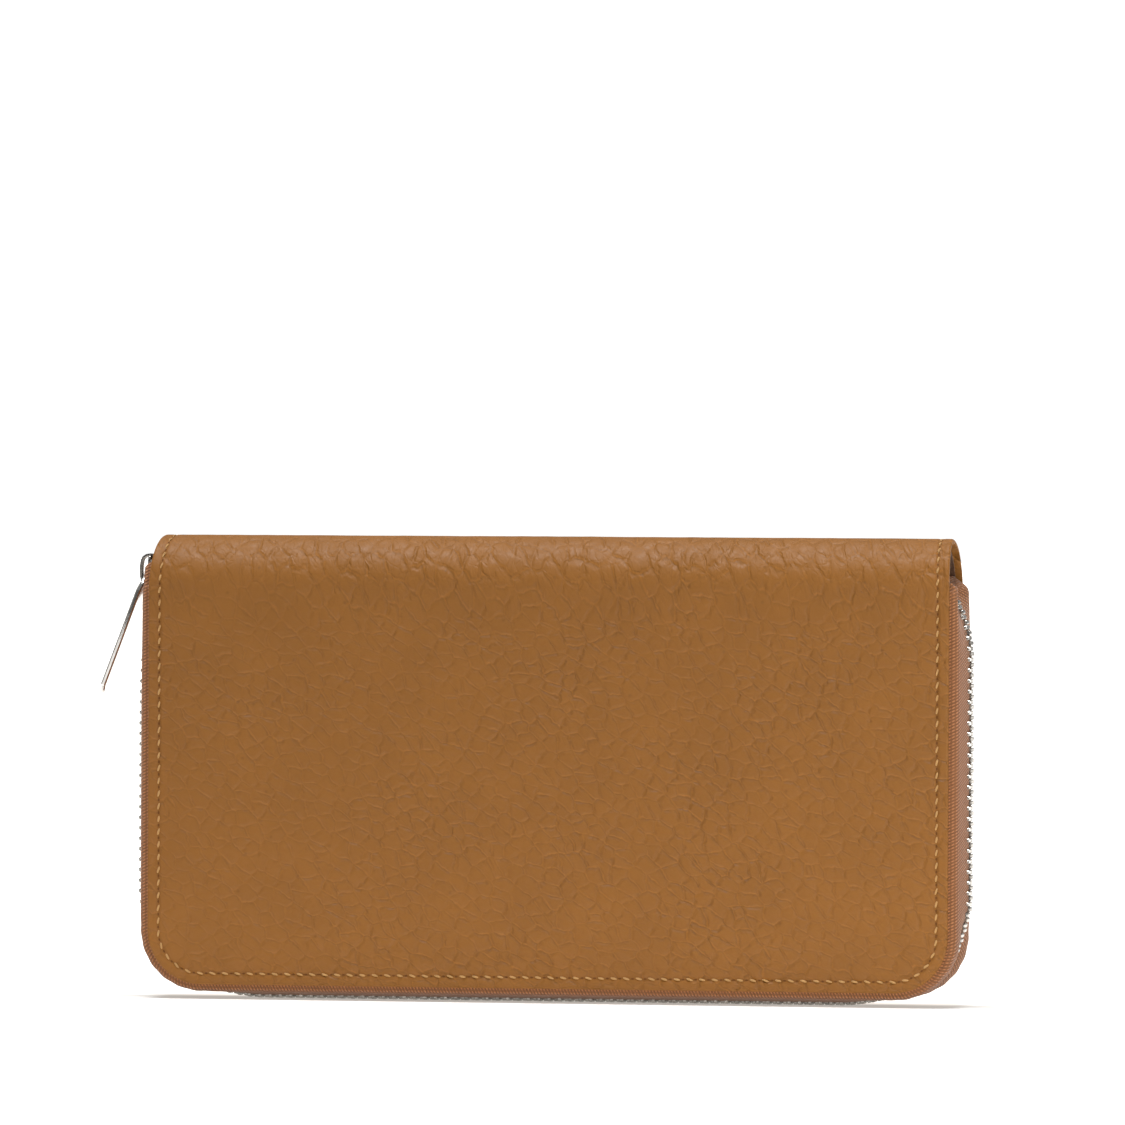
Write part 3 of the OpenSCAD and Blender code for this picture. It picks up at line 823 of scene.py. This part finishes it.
# the same for the stop clamped on each tape's open end, and for the one that closes the zip
TOP_STOP = ((3.3, 0.3, 0.7), (3.15, 0.45, 0.95), (2.6, 0.52, 1.05), (1.9, 0.52, 1.05),
            (1.4, 0.45, 0.95), (1.2, 0.28, 0.6))
END_STOP = ((-2.1, 0.7, 0.6), (-1.9, 1.0, 0.9), (-1.2, 1.2, 1.08), (0.6, 1.2, 1.12),
            (2.0, 1.2, 1.08), (2.8, 1.0, 0.9), (3.0, 0.7, 0.6))


def line_frame(point, way):
    """Maps (along, across, outward) at a point of the chain to the wallet's axes."""
    (x, z), (dx, dz) = point, way

    def place(a, y, n):
        return (x + a * dx + n * dz, y, z + a * dz - n * dx)
    return place


def add_tooth(shape, place, side):
    add_block(shape, place, TOOTH, 0.32, 0.3, side)


chain_total = along(chain_line, [0])[2]
slider_lo, slider_hi = (np.array(c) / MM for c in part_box("slider_body"))
slider_centre = (slider_lo + slider_hi) / 2 - np.array((SHIFT, 0, 0))
left_line = chain_line[:SIDE_STATIONS]
gap_to_slider = float(np.interp(-slider_centre[2], -left_line[:, 1], run_lengths(left_line)))
SLIDER_REACH, STOP_BACK, CHAIN_END, END_STOP_BACK = 5.6, 6.1, 9.0, 6.6
RUN_SPLIT_Z, FEET = CORNER_Z + 0.3, (74.0, 79.5)

for side in (FRONT, BACK):
    label = SIDE_NAME[side]
    start = gap_to_slider + SLIDER_REACH + (TOOTH_PITCH / 2 if side == BACK else 0)
    places = np.arange(start, chain_total - CHAIN_END, TOOTH_PITCH)
    at, way, _ = along(chain_line, places)
    runs = {"left_run": Shape(), "main": Shape(), "feet": Shape()}
    for p, w in zip(at, way):
        kind = "main"
        if p[0] < 0 and p[1] > RUN_SPLIT_Z:
            kind = "left_run"
        elif p[1] < FOOT_Z and FEET[0] < abs(p[0]) < FEET[1]:
            kind = "feet"
        add_tooth(runs[kind], line_frame(p, w), side)
    for kind, shape in runs.items():
        obj = piece(f"{label}_zip_{kind}", shape, zip_metal, sharp=28)
        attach(obj, HALF_BODY[side])
        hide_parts(f"{label}_teeth_{kind}")
    stop = Shape()
    at, way, _ = along(chain_line, [max(0.8, gap_to_slider - STOP_BACK)])
    add_block(stop, line_frame(at[0], way[0]), TOP_STOP, 0.3, 0.35, side)
    obj = piece(f"{label}_stop_clamp", stop, zip_metal)
    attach(obj, HALF_BODY[side])
    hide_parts(f"{label}_top_stop")

end_stop = Shape()
at, way, _ = along(chain_line, [chain_total - END_STOP_BACK])
add_block(end_stop, line_frame(at[0], way[0]), END_STOP, 0.2, 0.35)
obj = piece("closed_end_stop", end_stop, zip_metal)
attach(obj, "back_half")
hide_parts("bottom_stop")


# ---- sliders and pullers
def build_slider(shape, place):
    """Two bevelled plates joined by side flanges and the wedge between the tapes."""
    half = [(5.0, 3.3), (3.0, 3.35), (0.5, 3.6), (-1.0, 4.2), (-2.2, 4.6), (-3.4, 4.65),
            (-4.4, 4.1), (-5.0, 3.0)]
    outline = rounded([(a, -b) for a, b in half[::-1]] + half, 0.8, 3)
    for low, high in ((-1.95, -1.3), (1.3, 1.95)):
        prism(shape, [outline], low, high, 0.22, place)
    for s in (-1, 1):
        rail = [(4.85, s * 3.25), (0.5, s * 3.5), (-2.2, s * 4.45), (-3.6, s * 4.45)]
        inner = [(a, b - s * 0.6) for a, b in rail]
        for low, high in ((-1.35, -0.55), (0.55, 1.35)):
            prism(shape, [counterclockwise(rail + inner[::-1])], low, high, 0.1, place)
    wedge = rounded([(-4.9, -0.9), (-2.1, -0.08), (-2.1, 0.08), (-4.9, 0.9)], 0.2, 2)
    prism(shape, [counterclockwise(wedge)], -1.35, 1.35, 0.05, place)


def build_bail(shape, place):
    """Arched strap over the slider's outer plate, as the puller's loop."""
    line = [(-4.55, 1.7), (-4.6, 2.3), (-4.45, 3.1), (-4.0, 3.75), (-3.2, 4.15), (-2.0, 4.3),
            (-0.6, 4.3), (0.6, 4.22), (1.5, 3.85), (2.05, 3.2), (2.2, 2.5), (2.15, 1.7)]
    half_w, half_t, squareness, sides = 1.05, 0.42, 0.55, 12
    rings = []
    for (a, n), (na, nn) in zip(line, normals_2d(line)):
        ring = []
        for t in np.arange(sides) * 2 * math.pi / sides:
            c, s = math.cos(t), math.sin(t)
            u = math.copysign(abs(c) ** squareness, c) * half_w
            w = math.copysign(abs(s) ** squareness, s) * half_t
            ring.append(place(a + na * w, u, n + nn * w))
        rings.append(ring)
    shape.loft(rings)


def build_puller(shape, place, length, width, thick):
    """Bevelled plate with cut corners, a slot at its top and a round bar across it."""
    cut = width * 0.24
    neck, bar_r = 2.45, 0.6
    outline = rounded([(0.1, -neck), (3.4, -width / 2), (length - cut, -width / 2),
                       (length, cut - width / 2), (length, width / 2 - cut),
                       (length - cut, width / 2), (3.4, width / 2), (0.1, neck)], 0.5, 4)
    slot = rounded([(0.55, -1.45), (3.1, -1.45), (3.1, 1.45), (0.55, 1.45)], 0.45, 4)
    prism(shape, [counterclockwise(outline), counterclockwise(slot)[::-1]],
          -thick / 2, thick / 2, 0.34, place, steps=1)
    rings = []
    for y in (-neck, -neck + 0.15, -1.5, 1.5, neck - 0.15, neck):
        r = bar_r if abs(y) < neck else 0.75 * bar_r
        rings.append([place(r * math.cos(t), y, r * math.sin(t))
                      for t in np.linspace(0, 2 * math.pi, 16, endpoint=False)])
    shape.loft(rings)


LEAN = math.radians(2.2)
slider_place = line_frame(slider_centre[::2], (-math.sin(LEAN), -math.cos(LEAN)))
body = Shape()
build_slider(body, slider_place)
obj = piece("slider_shell", body, dark_metal, sharp=30)
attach(obj, "slider")
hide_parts("slider_body")
arch = Shape()
build_bail(arch, slider_place)
obj = piece("slider_bail_strap", arch, dark_metal, sharp=50)
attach(obj, "slider")
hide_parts("slider_bail")

TILT = math.radians(20.7)
PULLER_LEN, PULLER_W, PULLER_T = 30, 10, 1.2
puller_joint = next(j for j in frame["joints"] if j["name"] == "puller_swing")
PIVOT = (puller_joint["pos_m"][0] / MM - SHIFT, puller_joint["pos_m"][2] / MM)


def puller_place(u, v, w):
    return (PIVOT[0] - u * math.sin(TILT) + w * math.cos(TILT), v,
            PIVOT[1] - u * math.cos(TILT) - w * math.sin(TILT))


plate = Shape()
build_puller(plate, puller_place, PULLER_LEN, PULLER_W, PULLER_T)
obj = piece("puller_plate", plate, bright_metal, sharp=20)
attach(obj, "puller")
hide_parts("puller")

# ---- card panels
PANEL_HALF_W, PANEL_LOW, PANEL_TOP = 84.0, 16.2, 97.0
ROWS, ROW_STEP, FIRST_ROW_Z = 4, 14, CORNER_Z + 7
BACKING_Y, STRIP_T = 9.4, 0.35


def build_panel(side, y_in, y_out, z_low):
    """Leather sheet with a rounded folded mouth and a crease pressed behind it."""
    shape = Shape()
    t = y_out - y_in
    profile = [(0.0, 0.5 * t), (0.04, 0.22 * t), (0.16, 0.05 * t), (0.4, 0.0), (1.7, 0.0),
               (1.9, 0.2 * t), (2.15, 0.24 * t), (2.4, 0.2 * t), (2.6, 0.0)]
    profile = [(z_low + dz, y_in + dy) for dz, dy in profile]
    profile += [(PANEL_TOP, y_in), (PANEL_TOP, y_out), (z_low + 0.3, y_out),
                (z_low + 0.1, y_out - 0.1 * t)]
    rings, uvs = [], []
    for x, r in ((-1, 0.08), (-0.9985, 0), (0.9985, 0), (1, 0.08)):
        ring = []
        for z, y in profile:
            mid = (y_in + y_out) / 2
            ring.append((x * PANEL_HALF_W, side * (mid + (y - mid) * (1 - r)), z + r))
            uvs.append((x * PANEL_HALF_W, z))
        rings.append(ring)
    shape.loft(rings, uvs=uvs)
    return shape


def stitch_row(shape, start, end, normal, radius=0.2):
    """Straight row of stitches on a flat face."""
    length = 2.0
    a, b, n = (np.array(p, float) for p in (start, end, normal))
    total = np.linalg.norm(b - a)
    d = (b - a) / total
    c = np.cross(n, d)
    for k in range(int(total / STITCH_PITCH)):
        p = a + d * (k + 0.5) * STITCH_PITCH

        def place(u, v, h, p=p):
            return tuple(p + d * u + c * v + n * (h + 0.04))
        add_stitch(shape, place, length, radius, 0.09, rings=5, sides=6)


for side in (FRONT, BACK):
    label = SIDE_NAME[side]
    seams = Shape()
    obj = piece(f"{label}_panel_base", build_panel(side, BACKING_Y, 9.8, PANEL_LOW), inner_leather)
    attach(obj, HALF_BODY[side])
    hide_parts(f"{label}_card_backing")
    for row in range(1, ROWS + 1):
        y_out = BACKING_Y - STRIP_T * (row - 1)
        y = y_out - STRIP_T
        z_low = FIRST_ROW_Z + ROW_STEP * (row - 1)
        obj = piece(f"{label}_card_slot_{row}", build_panel(side, y, y_out, z_low),
                    inner_leather)
        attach(obj, HALF_BODY[side])
        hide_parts(f"{label}_card_strip_{row}")
        z_next = z_low + ROW_STEP if row < ROWS else PANEL_TOP - 1
        for x in (-PANEL_HALF_W + 1.6, 0, PANEL_HALF_W - 1.6):
            stitch_row(seams, (x, side * y, z_low + 0.6), (x, side * y, z_next - 0.2),
                       (0, -side, 0), radius=0.16)
    obj = piece(f"{label}_panel_seams", seams, thread, sharp=80)
    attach(obj, HALF_BODY[side])

# ---- coin pocket
POCKET_HALF_W, POCKET_LOW, POCKET_TOP = 88.0, 20.5, 104.0
WALL_IN, WALL_OUT = 2.9, 3.6
COIN_Z, COIN_X, COIN_STOP_X, COIN_SCALE = 20.0, -81.0, 81.5, 0.5
COIN_PITCH, COIN_PULLER_LEN, SIDE_SEAM_TOP = 2.0, 24, 33.5
BINDING_LOW, BINDING_W = 23.0, 1.75

for side in (FRONT, BACK):
    label = SIDE_NAME[side]
    wall, seams = Shape(), Shape()
    loop = rounded([(-POCKET_HALF_W, POCKET_LOW), (POCKET_HALF_W, POCKET_LOW),
                    (POCKET_HALF_W, POCKET_TOP), (-POCKET_HALF_W, POCKET_TOP)], 1.2, 4)
    prism(wall, [loop], WALL_IN, WALL_OUT, 0.2, lambda u, v, w: (u, side * w, v), steps=2)
    obj = piece(f"coin_{label}_wall_leather", wall, inner_leather)
    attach(obj, "divider")
    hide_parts(f"coin_pocket_{label}_wall")
    y, n = side * WALL_OUT, (0, side, 0)
    x = POCKET_HALF_W - 1.6
    stitch_row(seams, (-x, y, POCKET_LOW + 1.6), (x, y, POCKET_LOW + 1.6), n)
    for s in (-1, 1):
        stitch_row(seams, (s * x, y, POCKET_LOW + 2.5), (s * x, y, SIDE_SEAM_TOP), n)
    stitch_row(seams, (-x, y, POCKET_TOP - 2.2), (x, y, POCKET_TOP - 2.2), n)
    obj = piece(f"coin_{label}_wall_seams", seams, thread, sharp=80)
    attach(obj, "divider")

band = Shape()
w = POCKET_HALF_W - 0.25
inner = w - BINDING_W
loop = [(-w, BINDING_LOW), (-inner, BINDING_LOW), (-inner, POCKET_TOP - 2.1),
        (inner, POCKET_TOP - 2.1), (inner, BINDING_LOW), (w, BINDING_LOW),
        (w, POCKET_TOP - 0.3), (-w, POCKET_TOP - 0.3)]
prism(band, [rounded(loop, 0.5, 3)], -WALL_IN, WALL_IN, 0.25, lambda u, v, w: (u, w, v), steps=2)
obj = piece("coin_edge_binding", band, inner_leather)
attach(obj, "divider")
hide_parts("coin_pocket_binding")

coin_tape = Shape()
for side in (FRONT, BACK):
    centre = [(2.68, 26.6), (2.68, 24.0), (2.68, 21.6), (2.6, 20.8), (2.35, 20.25), (1.95, 20.03),
              (1.5, 20.0)]
    way = list(zip(centre, normals_2d(centre)))
    ring = [(y + 0.16 * a, z + 0.16 * b) for (y, z), (a, b) in way]
    ring += [(y - 0.16 * a, z - 0.16 * b) for (y, z), (a, b) in way[::-1]]
    rings, uvs = [], []
    for x in np.linspace(-85, 85, 60):
        rings.append([(x, side * y, z) for y, z in ring])
        uvs += [(x, min(i, 13 - i) * 1.2) for i in range(len(ring))]
    coin_tape.loft(rings, uvs=uvs)
obj = piece("coin_tape_cloth", coin_tape, tape_cloth)
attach(obj, "divider")
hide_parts("coin_zip_tapes")

coin_teeth = Shape()
for side in (FRONT, BACK):
    first = COIN_X + 3.5 + (COIN_PITCH / 2 if side == BACK else 0)
    for x in np.arange(first, COIN_STOP_X - 2, COIN_PITCH):
        base = line_frame((x, COIN_Z), (1, 0))
        add_tooth(coin_teeth, lambda a, y, n, base=base: base(a * 0.8, y * 0.52, n * 0.58), side)
obj = piece("coin_chain", coin_teeth, zip_metal, sharp=28)
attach(obj, "divider")
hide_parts("coin_zip_teeth")

coin_end = Shape()
base = line_frame((COIN_STOP_X, COIN_Z), (1, 0))
loop = rounded([(-0.8, -1.5), (0.8, -1.5), (0.8, 1.5), (-0.8, 1.5)], 0.4, 4)
prism(coin_end, [loop], -0.7, 0.7, 0.2, base, steps=2)
obj = piece("coin_end_stop", coin_end, zip_metal)
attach(obj, "divider")
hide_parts("coin_zip_stop")

coin_place = line_frame((COIN_X, COIN_Z), (1, 0))
small = Shape()
build_slider(small, shrunk(coin_place, COIN_SCALE))
build_bail(small, shrunk(coin_place, COIN_SCALE))
obj = piece("coin_slider_shell", small, dark_metal, sharp=30)
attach(obj, "coin_slider")
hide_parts("coin_slider")

COIN_PIVOT = (COIN_X + 0.3, COIN_Z - 1.4)


def coin_puller_place(u, v, w):
    return (COIN_PIVOT[0] + w, v, COIN_PIVOT[1] - u)


small_plate = Shape()
build_puller(small_plate, shrunk(coin_puller_place, COIN_SCALE), COIN_PULLER_LEN, PULLER_W,
             PULLER_T)
obj = piece("coin_puller_plate", small_plate, bright_metal, sharp=20)
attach(obj, "coin_puller")
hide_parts("coin_puller")

# ---- gussets
GUSSET_LOW, GUSSET_HIGH, GUSSET_T = 34.0, 96.0, 0.36
GUSSET_PATH = ((92.0, 9.55), (89.5, 9.5), (85.2, 6.7), (87.4, 3.9), (84.4, 3.82))


def chaikin(points, times):
    """Rounds an open line by cutting its corners, with its ends kept."""
    p = [np.array(q, float) for q in points]
    for _ in range(times):
        q = [p[0]]
        for a, b in zip(p, p[1:]):
            q += [0.75 * a + 0.25 * b, 0.25 * a + 0.75 * b]
        p = q + [p[-1]]
    return np.array(p)


for side in (FRONT, BACK):
    for end in (-1, 1):
        name = f"{SIDE_NAME[side]}_{'left' if end < 0 else 'right'}_gusset"
        centre = chaikin(GUSSET_PATH, 3)
        width = run_lengths(centre)
        way = list(zip(centre, normals_2d(centre), width))
        shape, rings, uvs = Shape(), [], []
        for z in np.linspace(GUSSET_LOW, GUSSET_HIGH, 32):
            wave = 0.12 * math.sin(z * 0.31 + side + end)
            ring = []
            for sign in (1, -1):
                for (x, y), (a, b), s in way[::sign]:
                    free = math.sin(math.pi * s / width[-1]) * wave
                    ring.append((end * (x + sign * a * GUSSET_T / 2 + free),
                                 side * (y + sign * b * GUSSET_T / 2), z))
                    uvs.append((s, z))
            rings.append(ring)
        shape.loft(rings, uvs=uvs)
        obj = piece(name + "_fold", shape, suede)
        if side == FRONT:
            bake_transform(obj)
        else:
            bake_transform(obj)
        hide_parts(name)

# ---- floor, light, camera
scene = bpy.context.scene
scene.view_settings.view_transform = "Standard"


def floor_material():
    """White table that glows, as painted light: a little everywhere, more behind the wallet and in
    a strip in front of it, which washes out the wallet's shadow there and lights it from below.
    """
    m = Nodes("pale_floor")
    grain = m.noise(m.object_mm(), 0.004, 2.0)
    colour = m.mix(grain, (0.50, 0.50, 0.50, 1), (0.52, 0.52, 0.52, 1))
    y = m.split(m.object_mm())[1]
    # painted light: a glowing strip from 11 mm to about 210 mm in front of the wallet
    near = m.math("MULTIPLY", m.ramp(y, -26.0, -11.0, 1.0, 0.0), m.ramp(y, -210.0, -90.0))
    # painted light: stronger glow behind the wallet, where its shadow falls
    behind = m.ramp(y, 0.0, 14.0, 0.4, 1.0)
    m.put(m.bsdf, "Emission Strength", m.math("ADD", behind, m.math("MULTIPLY", near, 0.85)))
    return m.finish(colour, 0.8, Specular_IOR_Level=0.0, Emission_Color=(1.0, 0.95, 0.88, 1))


floor_mesh = bpy.data.meshes.new("floor")
REACH = 12.0
floor_z = min(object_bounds()[0].z, 0.0015)
corners = ((-REACH, -REACH), (REACH, -REACH), (REACH, REACH), (-REACH, REACH))
floor_mesh.from_pydata([(x, y, floor_z) for x, y in corners], [], [(0, 1, 2, 3)])
floor_mesh.materials.append(floor_material())
floor = bpy.data.objects.new("floor", floor_mesh)
scene.collection.objects.link(floor)


def build_world():
    """White to the camera; as light, a room that is brighter behind the wallet."""
    world = bpy.data.worlds.new("studio")
    world.use_nodes = True
    tree = world.node_tree
    tree.nodes.clear()

    def add(kind, *sources):
        n = tree.nodes.new("ShaderNode" + kind)
        for i, source in enumerate(sources):
            tree.links.new(source, n.inputs[i])
        return n
    direction = add("SeparateXYZ", add("TexCoord").outputs["Generated"])
    depth = add("Math", direction.outputs["Y"])
    depth.operation = "MULTIPLY_ADD"
    depth.inputs[1].default_value, depth.inputs[2].default_value = 0.5, 0.5
    ramp = add("ValToRGB", depth.outputs[0])
    front, rear = ramp.color_ramp.elements
    front.position, front.color = 0.0, (0.30, 0.29, 0.28, 1)
    rear.position, rear.color = 1.0, (1, 1, 1, 1)
    room = add("Background", ramp.outputs[0])
    room.inputs["Strength"].default_value = 0.42
    seen = add("Background")
    seen.inputs["Color"].default_value = (1, 1, 1, 1)
    seen.inputs["Strength"].default_value = 1.05
    choose = add("MixShader", add("LightPath").outputs["Is Camera Ray"], room.outputs[0],
                 seen.outputs[0])
    add("OutputWorld", choose.outputs[0])
    return world


scene.world = build_world()


def add_light(kind, name, location, target, energy, **settings):
    """Light aimed at a target, both in metres."""
    data = bpy.data.lights.new(name, kind)
    data.energy = energy
    for key, value in settings.items():
        setattr(data, key, value)
    lamp = bpy.data.objects.new(name, data)
    lamp.location = location
    lamp.rotation_mode = "QUATERNION"
    lamp.rotation_quaternion = (Vector(target) - Vector(location)).to_track_quat("-Z", "Y")
    scene.collection.objects.link(lamp)


add_light("SUN", "overhead_softbox", (-0.12, -0.3, 2.4), (0, 0, 0.05), 4.2,
          angle=math.radians(24))
add_light("AREA", "right_fill", (0.36, -0.27, 0.05), (0.05, 0, 0.03), 0.75, shape="RECTANGLE",
          size=0.2, size_y=0.2)

CAM_AZ, CAM_EL, CAM_ROLL, CAM_DISTANCE = math.radians(10.3), math.radians(0.5), 0.0045, 2.5
AIM = Vector((SHIFT * MM + 0.0018, 0, 0.1048))
towards = Vector((math.sin(CAM_AZ) * math.cos(CAM_EL), -math.cos(CAM_AZ) * math.cos(CAM_EL),
                  math.sin(CAM_EL)))
camera_data = bpy.data.cameras.new("camera")
camera_data.lens = 337.6
camera_data.sensor_width = 36.0
camera_data.clip_start, camera_data.clip_end = 0.1, 60.0
camera = bpy.data.objects.new("camera", camera_data)
camera.location = AIM + towards * CAM_DISTANCE
camera.rotation_mode = "QUATERNION"
camera.rotation_quaternion = (-towards).to_track_quat("-Z", "Y") @ Quaternion((0, 0, 1), CAM_ROLL)
scene.collection.objects.link(camera)
scene.camera = camera
